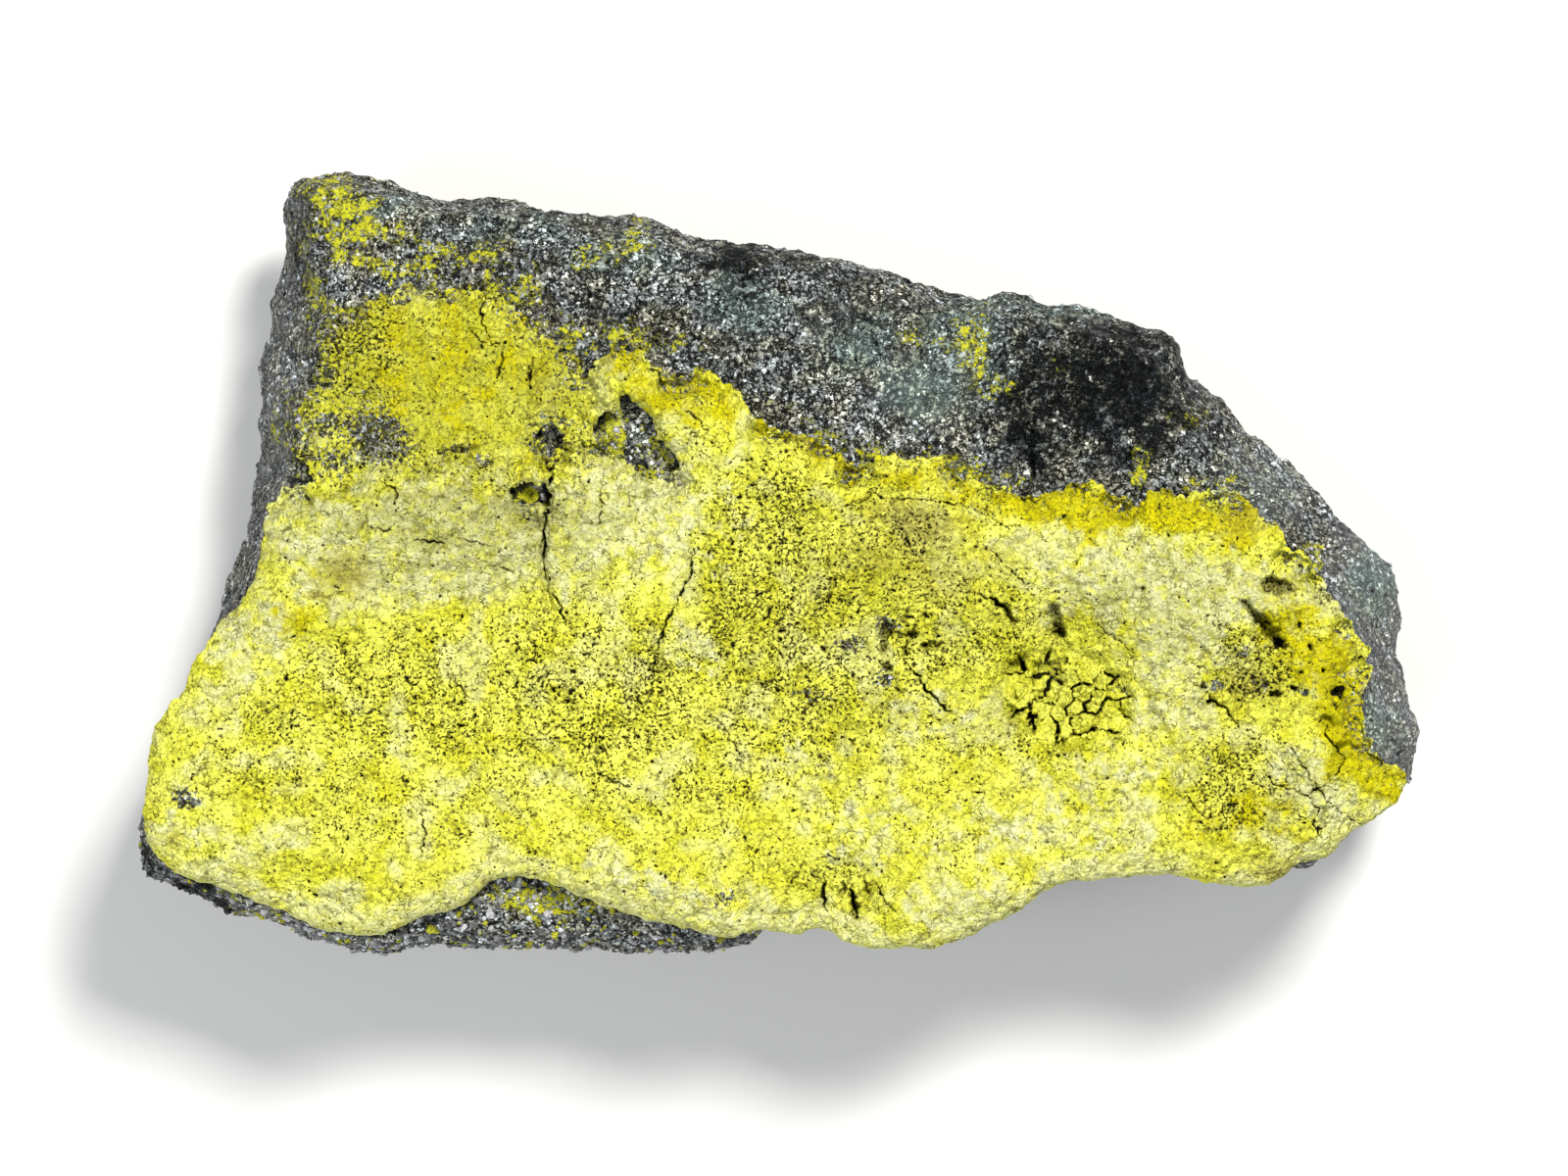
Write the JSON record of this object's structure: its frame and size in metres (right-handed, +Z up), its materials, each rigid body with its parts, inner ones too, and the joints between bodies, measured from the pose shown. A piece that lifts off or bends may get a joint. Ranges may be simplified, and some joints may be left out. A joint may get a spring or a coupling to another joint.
{
  "type": "tyuyamunite specimen",
  "caption": "Slab of grey quartz sandstone lying on its back, its upper face coated with a lumpy, cracked powdery crust of lemon-yellow tyuyamunite.",
  "frame": {"origin": "on the surface that the slab rests on, under the middle of its bounding box", "axes": "+X along the slab's length towards its narrow end, +Y across it towards the bare rock, +Z up, out of the crusted face"},
  "size_m": [0.1196, 0.0728, 0.0296],
  "materials": {
    "grey_sandstone": "rough broken sandstone with glinting quartz grains",
    "yellow_tyuyamunite": "dull earthy powder, pitted and cracked"
  },
  "bodies": {
    "root": {"sandstone_matrix": "grey_sandstone", "tyuyamunite_crust": "yellow_tyuyamunite"}
  },
  "joints": []
}
